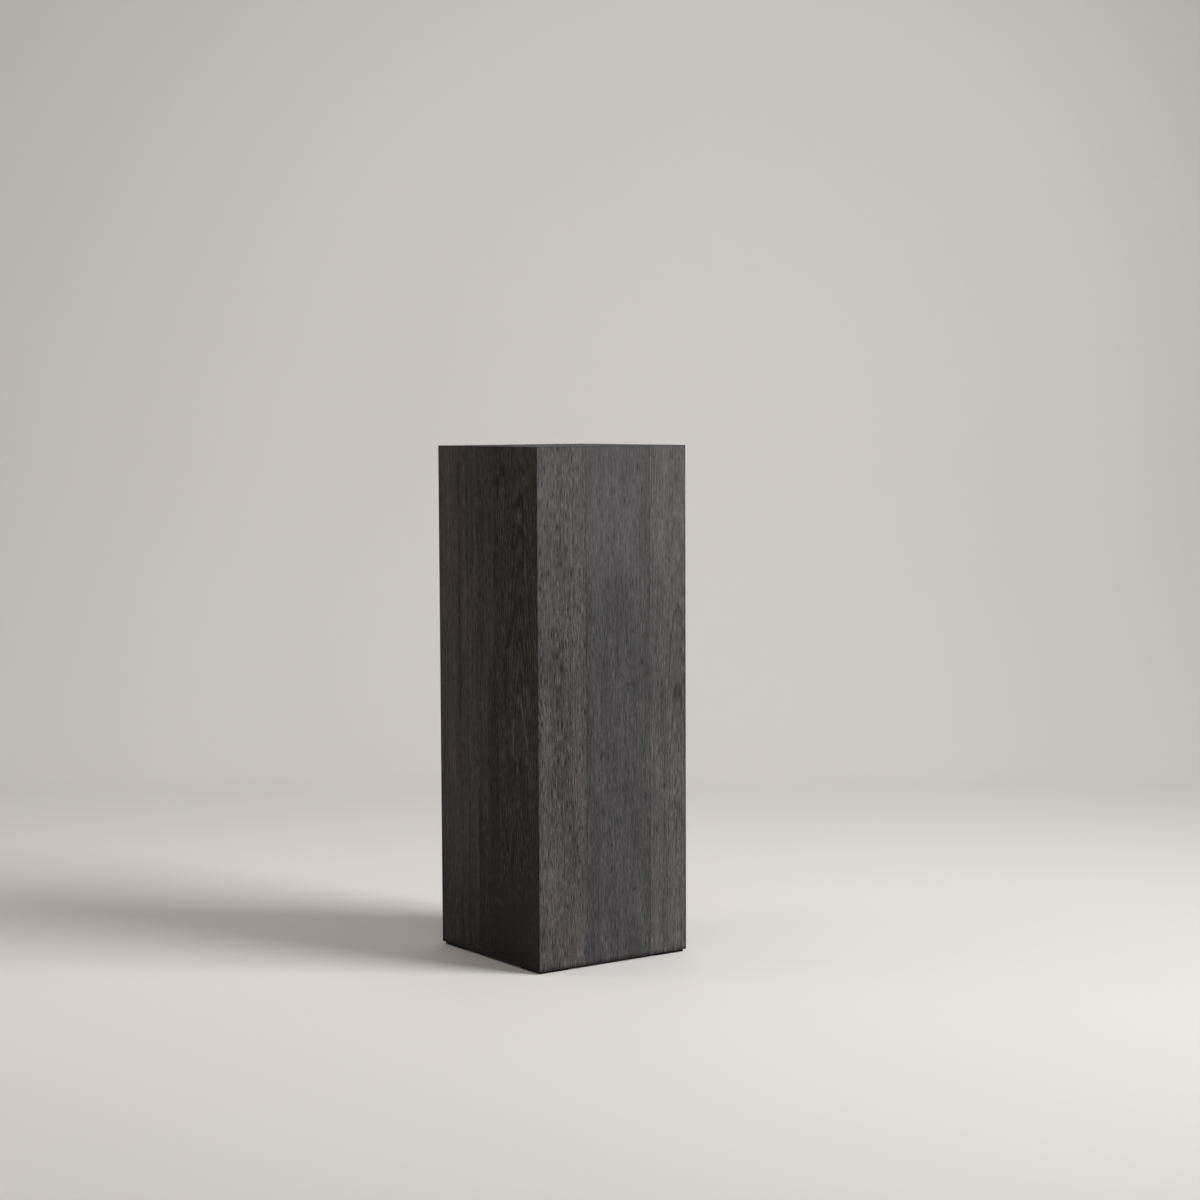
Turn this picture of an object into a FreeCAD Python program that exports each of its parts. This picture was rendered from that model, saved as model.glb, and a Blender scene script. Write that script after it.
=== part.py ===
import FreeCAD, Part
import os

# Display plinth: a hollow square pillar of edge-glued boards, mitred at its four upright corners
# and all round its top, stiffened inside with posts, cleats and a brace, and standing on four
# flat feet.
#
# Millimetres, +Z up. The origin is on the floor, at the centre of the footprint. The front looks
# along -Y, the left side along -X.
#
# Every face of the shell has its own frame: x runs along the face from its left edge, seen from
# outside, y runs from the outer surface into the plinth, and z is up. The top's frame has x to
# the right, y down and z to the back. Every corner has a frame too: x and y run from the outer
# corner along the two faces that meet there.

# Outside.
WIDTH = 350.0  # along X
DEPTH = 350.0  # along Y
HEIGHT = 1000.0  # floor to display surface
ARRIS = 1.5  # radius of the eased outer edges

# Shell boards. The middle board of each face takes what its two neighbours leave.
BOARD = 18.0  # thickness
FRONT_LEFT_WIDTH = 112.0
FRONT_RIGHT_WIDTH = 88.0
RIGHT_FRONT_WIDTH = 96.0
RIGHT_BACK_WIDTH = 132.0
BACK_RIGHT_WIDTH = 124.0
BACK_LEFT_WIDTH = 104.0
LEFT_BACK_WIDTH = 141.0
LEFT_FRONT_WIDTH = 150.0

# Tongue and groove between the boards of a face.
TONGUE_THICKNESS = 6.0
TONGUE_LENGTH = 6.0
TONGUE_PLAY = 0.1  # on each side of the tongue
TONGUE_END_GAP = 0.5

# Biscuits across the mitres.
BISCUIT_LENGTH = 53.0
BISCUIT_WIDTH = 19.0
BISCUIT_THICKNESS = 4.0
BISCUIT_TIP = 4.0  # width of the blunt ends
BISCUIT_COVER = 3.5  # wood left between a slot and the outer surface
SLOT_END_GAP = 0.5
SLOT_PLAY = 0.1  # on each side of the biscuit
CORNER_BISCUITS = 5  # in each upright corner
CORNER_BISCUIT_END = 90.0  # from the ends of the corner to the first and last
TOP_BISCUITS = 3  # in each edge of the top
TOP_BISCUIT_END = 60.0

# Posts in the corners.
POST = 30.0  # square section
POST_CHAMFER = 3.0

# Cleats under the top, over the base board and under the brace.
CLEAT = 20.0  # square section
CLEAT_END_GAP = 0.5  # between a cleat and a post

# Base board and brace.
BASE = 15.0  # thickness
BASE_GAP = 0.5  # all round the base board
BRACE = 12.0  # thickness
BRACE_LEVEL = 500.0  # floor to underside
BRACE_GAP = 0.5  # to the shell and to the posts
BRACE_HOLE = 80.0  # diameter

# Feet.
FOOT = 65.0  # square
FOOT_HEIGHT = 5.0
FOOT_INSET = 5.0  # from the outer surfaces
FOOT_ARRIS = 0.8

# Countersunk wood screws.
SHANK = 4.0  # diameter
HEAD = 8.0  # diameter
HEAD_RIM = 0.4
HEAD_SINK = 0.5  # depth of the head under the wood's surface
FOOT_HEAD_SINK = 1.2
POINT = 4.0  # length of the tapered point
CROSS_LENGTH = 4.4
CROSS_WIDTH = 0.9
CROSS_DEPTH = 1.3
HOLE_PLAY = 0.1  # all round the screw
HOLE_END_GAP = 0.5
SHELL_BITE = 10.0  # how far a screw goes into a shell board
CLEAT_BITE = 15.0
BASE_BITE = 11.0
POST_SCREWS = 4  # heights on each post, with one screw each way
POST_SCREW_END = 60.0
POST_SCREW_STAGGER = 30.0  # between the two screws at one height
CLEAT_SCREW_END = 25.0
CLEAT_SCREWS = 4  # the outer two go into the shell, the inner two up or down
FOOT_SCREW_SPACING = 24.0  # between the two screws of a foot, across its diagonal

# How far a cutter runs past the surface that it starts from.
PAST = 1.0

BODY_BOTTOM = FOOT_HEIGHT
BASE_TOP = FOOT_HEIGHT + BASE
TOP_UNDERSIDE = HEIGHT - BOARD


def vec(x, y, z):
    return FreeCAD.Vector(x, y, z)


def frame(origin, x_axis, y_axis):
    """A place whose x and y axes point the given ways."""
    turn = FreeCAD.Rotation(x_axis, y_axis, x_axis.cross(y_axis), "ZXY")
    return FreeCAD.Placement(origin, turn)


def block(low, high):
    size = high - low
    return Part.makeBox(size.x, size.y, size.z, low)


def placed(shape, place):
    copy = shape.copy()
    copy.Placement = place.multiply(copy.Placement)
    return copy


def spread(length, end, count):
    """Places of count things along a length, evenly, the outer two at end from its ends."""
    step = (length - 2 * end) / (count - 1)
    return [end + step * i for i in range(count)]


RIGHT, BACK, UP = vec(1, 0, 0), vec(0, 1, 0), vec(0, 0, 1)
HALF_X, HALF_Y = RIGHT * (WIDTH / 2), BACK * (DEPTH / 2)

# Name of each upright face, its frame and its width.
FACES = {
    "front": (frame(-HALF_X - HALF_Y, RIGHT, BACK), WIDTH),
    "right": (frame(HALF_X - HALF_Y, BACK, -RIGHT), DEPTH),
    "back": (frame(HALF_X + HALF_Y, -RIGHT, -BACK), WIDTH),
    "left": (frame(HALF_Y - HALF_X, -BACK, RIGHT), DEPTH),
}
CORNERS = {
    "front_left": frame(-HALF_X - HALF_Y, RIGHT, BACK),
    "front_right": frame(HALF_X - HALF_Y, BACK, -RIGHT),
    "back_right": frame(HALF_X + HALF_Y, -RIGHT, -BACK),
    "back_left": frame(HALF_Y - HALF_X, -BACK, RIGHT),
}
TOP_FRAME = frame(UP * HEIGHT - HALF_X - HALF_Y, RIGHT, -UP)


# Shell.


def mitred_panel(width, low, high, low_mitre):
    """One face of the shell in its own frame, mitred at both sides and at its high end."""
    return Part.makeWedge(
        0, 0, low, low + low_mitre, BOARD, width, BOARD, high, high - BOARD, width - BOARD
    )


def tongue(joint, length, end_gap, play):
    """A tongue, or with its gaps a groove, that runs past both ends of a face's joint."""
    middle, half = BOARD / 2, TONGUE_THICKNESS / 2 + play
    low = vec(joint, middle - half, -PAST)
    return block(low, vec(joint + TONGUE_LENGTH + end_gap, middle + half, length + PAST))


def boards_of(panel, width, length, joints):
    """The panel cut at its joints, each board with a tongue on its right edge."""
    edges = [0.0, *joints, width]
    boards = []
    for low, high in zip(edges, edges[1:]):
        board = panel.common(block(vec(low, -PAST, -PAST), vec(high, BOARD + PAST, length + PAST)))
        if high < width:
            board = board.fuse(panel.common(tongue(high, length, 0.0, 0.0))).removeSplitter()
        if low > 0:
            board = board.cut(tongue(low, length, TONGUE_END_GAP, TONGUE_PLAY))
        boards.append(board)
    return boards


def make_shell():
    """The fifteen boards, without slots or screw holes."""
    ends = {
        "front": (("left", FRONT_LEFT_WIDTH), ("right", FRONT_RIGHT_WIDTH)),
        "right": (("front", RIGHT_FRONT_WIDTH), ("back", RIGHT_BACK_WIDTH)),
        "back": (("right", BACK_RIGHT_WIDTH), ("left", BACK_LEFT_WIDTH)),
        "left": (("back", LEFT_BACK_WIDTH), ("front", LEFT_FRONT_WIDTH)),
    }
    eased = block(UP * BODY_BOTTOM - HALF_X - HALF_Y, UP * HEIGHT + HALF_X + HALF_Y)
    eased = eased.makeFillet(ARRIS, eased.Edges)
    shell = {}
    for face, (place, width) in FACES.items():
        (first, first_width), (last, last_width) = ends[face]
        joints = [first_width, width - last_width]
        panel = mitred_panel(width, BODY_BOTTOM, HEIGHT, 0.0)
        boards = boards_of(panel, width, HEIGHT, joints)
        for side, board in zip((first, "middle", last), boards):
            shell[f"{face}_{side}_board"] = placed(board, place).common(eased)
    # The top's boards run on from the front's, joint over joint.
    panel = mitred_panel(WIDTH, 0.0, DEPTH, BOARD)
    boards = boards_of(panel, WIDTH, DEPTH, [FRONT_LEFT_WIDTH, WIDTH - FRONT_RIGHT_WIDTH])
    for side, board in zip(("left", "middle", "right"), boards):
        shell[f"top_{side}_board"] = placed(board, TOP_FRAME).common(eased)
    return shell


# Biscuits and their slots.


def lens(end_gap, play):
    """A biscuit, or with its gaps a slot, lying flat with its middle at the origin."""
    length, width = BISCUIT_LENGTH / 2 + end_gap, BISCUIT_WIDTH / 2 + end_gap
    tip, half = BISCUIT_TIP / 2 + end_gap, BISCUIT_THICKNESS / 2 + play
    edges = [
        Part.Arc(vec(-length, tip, -half), vec(0, width, -half), vec(length, tip, -half)),
        Part.LineSegment(vec(length, tip, -half), vec(length, -tip, -half)),
        Part.Arc(vec(length, -tip, -half), vec(0, -width, -half), vec(-length, -tip, -half)),
        Part.LineSegment(vec(-length, -tip, -half), vec(-length, tip, -half)),
    ]
    outline = Part.Wire([edge.toShape() for edge in edges])
    return Part.Face(outline).extrude(UP * (2 * half))


def mitre_places():
    """Where the biscuits lie, by group: across the mitre, lengthwise along the edge."""
    reach = BISCUIT_WIDTH / 2 + SLOT_END_GAP + BISCUIT_THICKNESS / 2 + SLOT_PLAY
    inset = BISCUIT_COVER + reach / 2**0.5
    body = HEIGHT - BODY_BOTTOM
    places = {}
    for name, corner in CORNERS.items():
        heights = spread(body, CORNER_BISCUIT_END, CORNER_BISCUITS)
        across = frame(vec(inset, inset, BODY_BOTTOM), UP, vec(1, -1, 0) / 2**0.5)
        lifts = [FreeCAD.Placement(UP * height, FreeCAD.Rotation()) for height in heights]
        places[f"{name}_biscuits"] = [corner * lift * across for lift in lifts]
    for name, (face, width) in FACES.items():
        across = frame(vec(0, inset, HEIGHT - inset), RIGHT, vec(0, 1, 1) / 2**0.5)
        steps = spread(width, TOP_BISCUIT_END, TOP_BISCUITS)
        shifts = [FreeCAD.Placement(RIGHT * step, FreeCAD.Rotation()) for step in steps]
        places[f"top_{name}_biscuits"] = [face * shift * across for shift in shifts]
    return places


# Inner frame.


def corner_block(place, low, high, size, start, chamfer):
    """An upright square block at a corner, chamfered on its inmost and outmost edges."""
    end = start + size
    points = [
        vec(start + chamfer, start, low),
        vec(end, start, low),
        vec(end, end - chamfer, low),
        vec(end - chamfer, end, low),
        vec(start, end, low),
        vec(start, start + chamfer, low),
    ]
    outline = Part.makePolygon([*points, points[0]])
    return placed(Part.Face(outline).extrude(UP * (high - low)), place)


def make_posts():
    return {
        f"{name}_post": corner_block(place, BASE_TOP, TOP_UNDERSIDE, POST, BOARD, POST_CHAMFER)
        for name, place in CORNERS.items()
    }


def make_cleats():
    """Three rings of cleats against the shell, between the posts."""
    rings = {
        "top_cleat": TOP_UNDERSIDE - CLEAT,
        "base_cleat": BASE_TOP,
        "brace_batten": BRACE_LEVEL - CLEAT,
    }
    start = BOARD + POST + CLEAT_END_GAP
    cleats = {}
    for ring, level in rings.items():
        for name, (place, width) in FACES.items():
            low = vec(start, BOARD, level)
            cleat = block(low, vec(width - start, BOARD + CLEAT, level + CLEAT))
            cleats[f"{name}_{ring}"] = placed(cleat, place)
    return cleats


def make_base_board():
    edge = BOARD + BASE_GAP
    inner = vec(WIDTH / 2 - edge, DEPTH / 2 - edge, 0)
    return block(UP * BODY_BOTTOM - inner, UP * BASE_TOP + inner)


def make_brace():
    """A board notched round the posts, with a hole in the middle."""
    edge = BOARD + BRACE_GAP
    inner = vec(WIDTH / 2 - edge, DEPTH / 2 - edge, 0)
    top = BRACE_LEVEL + BRACE
    brace = block(UP * BRACE_LEVEL - inner, UP * top + inner)
    notch = BOARD + POST + BRACE_GAP
    low, high = vec(0, 0, BRACE_LEVEL - PAST), vec(notch, notch, top + PAST)
    for place in CORNERS.values():
        brace = brace.cut(placed(block(low, high), place))
    hole = Part.makeCylinder(BRACE_HOLE / 2, BRACE + 2 * PAST, UP * (BRACE_LEVEL - PAST))
    return brace.cut(hole)


def make_feet():
    low = vec(FOOT_INSET, FOOT_INSET, 0)
    foot = block(low, low + vec(FOOT, FOOT, FOOT_HEIGHT))
    eased = [e for e in foot.Edges if e.BoundBox.ZMin < FOOT_HEIGHT / 2]
    foot = foot.makeFillet(FOOT_ARRIS, eased)
    return {f"{name}_foot": placed(foot, place) for name, place in CORNERS.items()}


# Screws. A screw's own frame has the middle of its head at the origin and its point down.


def turned(profile):
    """A solid turned about Z from a profile of (radius, height) points that starts on the axis."""
    points = [vec(radius, 0, height) for radius, height in profile]
    face = Part.Face(Part.makePolygon([*points, points[0]]))
    return face.revolve(vec(0, 0, 0), UP, 360)


def make_screw(length):
    head, shank = HEAD / 2, SHANK / 2
    cone_end = -HEAD_RIM - (head - shank)
    profile = [(0, 0), (head, 0), (head, -HEAD_RIM), (shank, cone_end)]
    screw = turned([*profile, (shank, POINT - length), (0, -length)])
    for long, wide in ((CROSS_LENGTH / 2, CROSS_WIDTH / 2), (CROSS_WIDTH / 2, CROSS_LENGTH / 2)):
        screw = screw.cut(block(vec(-long, -wide, -CROSS_DEPTH), vec(long, wide, PAST)))
    return screw


def make_hole(length, sink):
    """The countersunk hole that a screw fits, open above its sunk head."""
    head, shank = HEAD / 2 + HOLE_PLAY, SHANK / 2 + HOLE_PLAY
    rim_end = -HEAD_RIM - HOLE_PLAY
    bottom = -length - HOLE_END_GAP
    profile = [(0, sink + PAST), (head, sink + PAST), (head, rim_end)]
    profile += [(shank, rim_end - (head - shank)), (shank, POINT + bottom), (0, bottom)]
    return turned(profile)


def driven(place, surface, direction, sink, length):
    """One screw and its hole: surface is where it enters, direction the way it is driven."""
    turn = FreeCAD.Rotation(-UP, direction)
    own = place * FreeCAD.Placement(surface + direction * sink, turn)
    return placed(make_screw(length), own), placed(make_hole(length, sink), own)


def post_screws():
    """At each height one screw goes through the post into each of its two faces."""
    middle, inner, length = BOARD + POST / 2, BOARD + POST, POST + SHELL_BITE
    span = TOP_UNDERSIDE - BASE_TOP
    driven_in = []
    for place in CORNERS.values():
        for step in spread(span, POST_SCREW_END, POST_SCREWS):
            low = BASE_TOP + step - POST_SCREW_STAGGER / 2
            high = low + POST_SCREW_STAGGER
            first, second = vec(inner, middle, low), vec(middle, inner, high)
            driven_in.append(driven(place, first, -RIGHT, HEAD_SINK, length))
            driven_in.append(driven(place, second, -BACK, HEAD_SINK, length))
    return driven_in


def cleat_places(width):
    """How far along a face its cleats' screws are: into the shell, then up or down."""
    start = BOARD + POST + CLEAT_END_GAP
    along = [start + step for step in spread(width - 2 * start, CLEAT_SCREW_END, CLEAT_SCREWS)]
    return (along[0], along[-1]), along[1:-1]


def ring_screws(level, entry, direction, length):
    """Screws of one ring of cleats: into the shell, and up or down from the entry height."""
    into_shell, upright = [], []
    for place, width in FACES.values():
        outer, inner = cleat_places(width)
        for x in outer:
            surface = vec(x, BOARD + CLEAT, level + CLEAT / 2)
            into_shell.append(driven(place, surface, -BACK, HEAD_SINK, CLEAT + SHELL_BITE))
        for x in inner:
            surface = vec(x, BOARD + CLEAT / 2, entry)
            upright.append(driven(place, surface, direction, HEAD_SINK, length))
    return into_shell, upright


def foot_screws():
    middle, offset = FOOT_INSET + FOOT / 2, FOOT_SCREW_SPACING / 2 / 2**0.5
    length = FOOT_HEIGHT + BASE_BITE
    driven_in = []
    for place in CORNERS.values():
        for side in (-1, 1):
            surface = vec(middle + side * offset, middle - side * offset, 0)
            driven_in.append(driven(place, surface, UP, FOOT_HEAD_SINK, length))
    return driven_in


def make_screws():
    """Every group of screws, each screw with its hole."""
    top_level = TOP_UNDERSIDE - CLEAT
    batten_level = BRACE_LEVEL - CLEAT
    top_side, top_up = ring_screws(top_level, top_level, UP, CLEAT + SHELL_BITE)
    base_side, base_up = ring_screws(BASE_TOP, BODY_BOTTOM, UP, BASE + CLEAT_BITE)
    brace_top = BRACE_LEVEL + BRACE
    batten_side, brace_down = ring_screws(batten_level, brace_top, -UP, BRACE + CLEAT_BITE)
    return {
        "post_screws": post_screws(),
        "top_cleat_screws": top_side + top_up,
        "base_cleat_screws": base_side,
        "base_board_screws": base_up,
        "brace_batten_screws": batten_side,
        "brace_board_screws": brace_down,
        "foot_screws": foot_screws(),
    }


# Assembly.


def without(piece, cutters):
    """The piece with every cutter that reaches it taken away."""
    for cutter in cutters:
        if piece.BoundBox.intersect(cutter.BoundBox):
            piece = piece.cut(cutter)
    return piece


def main():
    pieces = make_shell()
    pieces.update(make_posts())
    pieces.update(make_cleats())
    pieces["base_board"] = make_base_board()
    pieces["brace_board"] = make_brace()
    pieces.update(make_feet())

    places = mitre_places()
    screws = make_screws()
    slots = [placed(lens(SLOT_END_GAP, SLOT_PLAY), p) for group in places.values() for p in group]
    holes = [hole for group in screws.values() for _, hole in group]
    for name, piece in pieces.items():
        pieces[name] = without(piece, slots + holes)

    for name, group in places.items():
        pieces[name] = Part.Compound([placed(lens(0.0, 0.0), place) for place in group])
    for name, group in screws.items():
        pieces[name] = Part.Compound([screw for screw, _ in group])

    os.makedirs("parts", exist_ok=True)
    for name, piece in pieces.items():
        print(name, len(piece.Solids), piece.isValid(), round(piece.Volume))
        piece.exportStep(f"parts/{name}.step")


main()
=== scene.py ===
import math

import bmesh
import bpy
import numpy as np
from mathutils import Matrix, Vector


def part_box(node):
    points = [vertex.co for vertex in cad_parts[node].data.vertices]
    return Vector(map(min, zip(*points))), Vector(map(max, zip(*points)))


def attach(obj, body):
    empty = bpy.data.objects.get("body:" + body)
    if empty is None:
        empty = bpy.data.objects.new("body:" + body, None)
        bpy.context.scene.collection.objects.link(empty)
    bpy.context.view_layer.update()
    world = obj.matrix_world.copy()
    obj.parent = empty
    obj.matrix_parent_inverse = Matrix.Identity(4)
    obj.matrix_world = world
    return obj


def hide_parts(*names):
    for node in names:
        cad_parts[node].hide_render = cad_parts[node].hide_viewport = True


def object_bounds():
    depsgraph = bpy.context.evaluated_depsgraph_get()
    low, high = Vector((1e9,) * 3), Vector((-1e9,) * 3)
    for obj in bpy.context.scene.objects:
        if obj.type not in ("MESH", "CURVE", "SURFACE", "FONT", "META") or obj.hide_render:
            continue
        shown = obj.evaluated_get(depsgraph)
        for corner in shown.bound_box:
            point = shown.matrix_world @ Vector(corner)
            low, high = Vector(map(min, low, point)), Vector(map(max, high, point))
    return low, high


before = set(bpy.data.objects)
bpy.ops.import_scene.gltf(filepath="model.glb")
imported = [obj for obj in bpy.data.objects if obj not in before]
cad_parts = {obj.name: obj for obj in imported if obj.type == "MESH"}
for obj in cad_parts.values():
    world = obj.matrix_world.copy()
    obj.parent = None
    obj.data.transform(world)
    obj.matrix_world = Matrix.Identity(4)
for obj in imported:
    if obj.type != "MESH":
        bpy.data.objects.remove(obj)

bl_info = {
    "name": "Display plinth",
    "version": (1, 0, 0),
    "blender": (4, 5, 0),
    "location": "View3D > Sidebar > Plinth",
    "description": "A hollow display plinth of mitred boards stained black, on four low feet",
    "category": "Add Mesh",
}

MM = 0.001
SMALL = 1e-6

# The plinth's box, and what the boards' own boxes say about the shell.
LOW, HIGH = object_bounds()
CAD_BOX = (LOW.copy(), HIGH.copy())
BODY_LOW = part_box("front_middle_board")[0].z
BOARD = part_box("front_middle_board")[1].y - LOW.y
WIDTH, DEPTH, HEIGHT = HIGH.x - LOW.x, HIGH.y - LOW.y, HIGH.z

RIGHT, BACK, UP = Vector((1, 0, 0)), Vector((0, 1, 0)), Vector((0, 0, 1))


def face_frame(origin, x_axis, y_axis):
    """A face's own frame: x along it, y from its outer surface in, z along its grain."""
    turn = Matrix((x_axis, y_axis, x_axis.cross(y_axis))).transposed()
    return Matrix.Translation(origin) @ turn.to_4x4()


# Each face's frame and width.
FACES = {
    "front": (face_frame(Vector((LOW.x, LOW.y, 0)), RIGHT, BACK), WIDTH),
    "right": (face_frame(Vector((HIGH.x, LOW.y, 0)), BACK, -RIGHT), DEPTH),
    "back": (face_frame(Vector((HIGH.x, HIGH.y, 0)), -RIGHT, -BACK), WIDTH),
    "left": (face_frame(Vector((LOW.x, HIGH.y, 0)), -BACK, RIGHT), DEPTH),
    "top": (face_frame(Vector((LOW.x, LOW.y, HIGH.z)), RIGHT, -UP), WIDTH),
}
# The names of each face's boards, from left to right.
SIDES = {
    "front": ("left", "middle", "right"),
    "right": ("front", "middle", "back"),
    "back": ("right", "middle", "left"),
    "left": ("back", "middle", "front"),
    "top": ("left", "middle", "right"),
}


# Sizes and colours that a user would change.


def length(name, description, default):
    return bpy.props.FloatProperty(
        name=name, description=description, default=default, unit="LENGTH", precision=5
    )


def factor(name, description, default, top=1.0):
    return bpy.props.FloatProperty(
        name=name, description=description, default=default, min=0.0, max=top, subtype="FACTOR"
    )


def angle(name, description, degrees):
    return bpy.props.FloatProperty(
        name=name, description=description, default=math.radians(degrees), subtype="ANGLE"
    )


def power(name, description, default):
    return bpy.props.FloatProperty(
        name=name, description=description, default=default, min=0.0, unit="POWER"
    )


def colour(name, description, default):
    return bpy.props.FloatVectorProperty(
        name=name, description=description, default=default, size=3, subtype="COLOR"
    )


class PlinthSizes(bpy.types.PropertyGroup):
    """Sizes of the shell boards' worked surfaces."""

    arris: length("Arris", "Radius of the eased outer edges", 1.5 * MM)
    tongue_thickness: length("Tongue thickness", "Thickness of a board's tongue", 6 * MM)
    tongue_length: length("Tongue length", "How far a tongue stands out", 6 * MM)
    tongue_play: length("Tongue play", "Room on each side of a tongue", 0.1 * MM)
    tongue_end: length("Tongue end gap", "Room past the end of a tongue", 0.5 * MM)
    column: length("Column", "Width of a mesh face across the grain", 2.2 * MM)
    row: length("Row", "Length of a mesh face along the grain", 5 * MM)
    joint_depth: length("Joint line", "Depth of the line where two boards meet", 0.22 * MM)
    joint_width: length("Joint line width", "Half width of that line", 0.5 * MM)
    ripple: length("Ripple", "Depth of the raised grain", 0.12 * MM)


class PlinthColours(bpy.types.PropertyGroup):
    """Colours of the plinth's materials."""

    pore: colour("Pore", "Stain lying in the open pores", (0.004, 0.004, 0.0043))
    dark: colour("Dark wood", "Dense late wood under the stain", (0.0194, 0.0182, 0.0184))
    middle: colour("Wood", "The stained wood", (0.0520, 0.0506, 0.0510))
    light: colour("Light wood", "Fibres that took little stain", (0.125, 0.121, 0.118))
    warm: colour("Brown cast", "Where the wood's own brown shows", (0.077, 0.0604, 0.0548))
    cool: colour("Blue cast", "Where the stain lies thick", (0.044, 0.046, 0.052))
    pine: colour("Pine", "Planed softwood of the inner frame", (0.62, 0.43, 0.24))
    pine_line: colour("Pine late wood", "Darker rings of the softwood", (0.42, 0.24, 0.10))
    birch: colour("Birch", "Face of the plywood", (0.62, 0.48, 0.33))
    birch_edge: colour("Birch edge", "Dark plies at the plywood's edges", (0.36, 0.24, 0.14))
    beech: colour("Beech", "Pressed beech of the biscuits", (0.52, 0.35, 0.22))
    zinc: colour("Zinc", "Passivated screw steel", (0.62, 0.55, 0.38))
    rubber: colour("Rubber", "Moulded rubber of the feet", (0.005, 0.005, 0.005))
    dust: colour("Dust", "Dust lying thinly on the feet", (0.03, 0.0285, 0.026))
    floor: colour("Floor", "Pale studio floor", (0.86, 0.845, 0.825))


class PlinthStudio(bpy.types.PropertyGroup):
    """Camera and lights."""

    camera: bpy.props.FloatVectorProperty(
        name="Camera",
        description="Where the camera stands",
        default=(-2.7317, -3.9865, 1.0596),
        size=3,
        subtype="TRANSLATION",
        unit="LENGTH",
    )
    turn: angle("Turn", "How far the camera looks to the right of straight ahead", 35.32)
    tilt: angle("Tilt", "How far the camera looks down", 4.32)
    roll: angle("Roll", "How far the camera leans", -0.25)
    lens: bpy.props.FloatProperty(
        name="Lens", description="Focal length on a 36 mm film", default=73.65, unit="CAMERA"
    )
    key: power("Key light", "Power of the soft key light", 105.0)
    sheen: factor("Sheen", "Share of the key light that shows in gloss", 0.3)
    fill: power("Fill light", "Power of the fill on the left", 6.8)
    overhead: power("Overhead", "Power of the overhead light", 10.0)
    ambient: factor("Ambient", "Strength of the even light all round", 0.2, 4.0)


# Shader maths.


class Wire:
    """A socket of a node tree that takes part in Python sums."""

    def __init__(self, finish, socket):
        self.finish, self.socket = finish, socket

    def maths(self, operation, *values):
        return self.finish.add("ShaderNodeMath", {"operation": operation}, dict(enumerate(values)))

    def __add__(self, other):
        return self.maths("ADD", self, other)

    def __sub__(self, other):
        return self.maths("SUBTRACT", self, other)

    def __rsub__(self, other):
        return self.maths("SUBTRACT", other, self)

    def __mul__(self, other):
        return self.maths("MULTIPLY", self, other)

    def __truediv__(self, other):
        return self.maths("DIVIDE", self, other)

    def __rtruediv__(self, other):
        return self.maths("DIVIDE", other, self)

    def __pow__(self, other):
        return self.maths("POWER", self, other)

    def __neg__(self):
        return self.maths("MULTIPLY", self, -1.0)

    __radd__ = __add__
    __rmul__ = __mul__

    def root(self):
        return self.maths("SQRT", self)

    def fraction(self):
        return self.maths("FRACT", self)

    def floor(self):
        return self.maths("FLOOR", self)

    def size(self):
        return self.maths("ABSOLUTE", self)

    def clamped(self, low=0.0, high=1.0):
        return self.maths("MINIMUM", self.maths("MAXIMUM", self, low), high)

    def between(self, low, high):
        """0 below low and 1 above high, smooth in between. low may be the higher one."""
        share = ((self - low) / (high - low)).clamped()
        return share * share * (3.0 - 2.0 * share)

    def bell(self, width):
        """1 at zero, falling off on both sides over the width."""
        return self.maths("POWER", math.e, -((self / width) ** 2.0))


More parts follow.
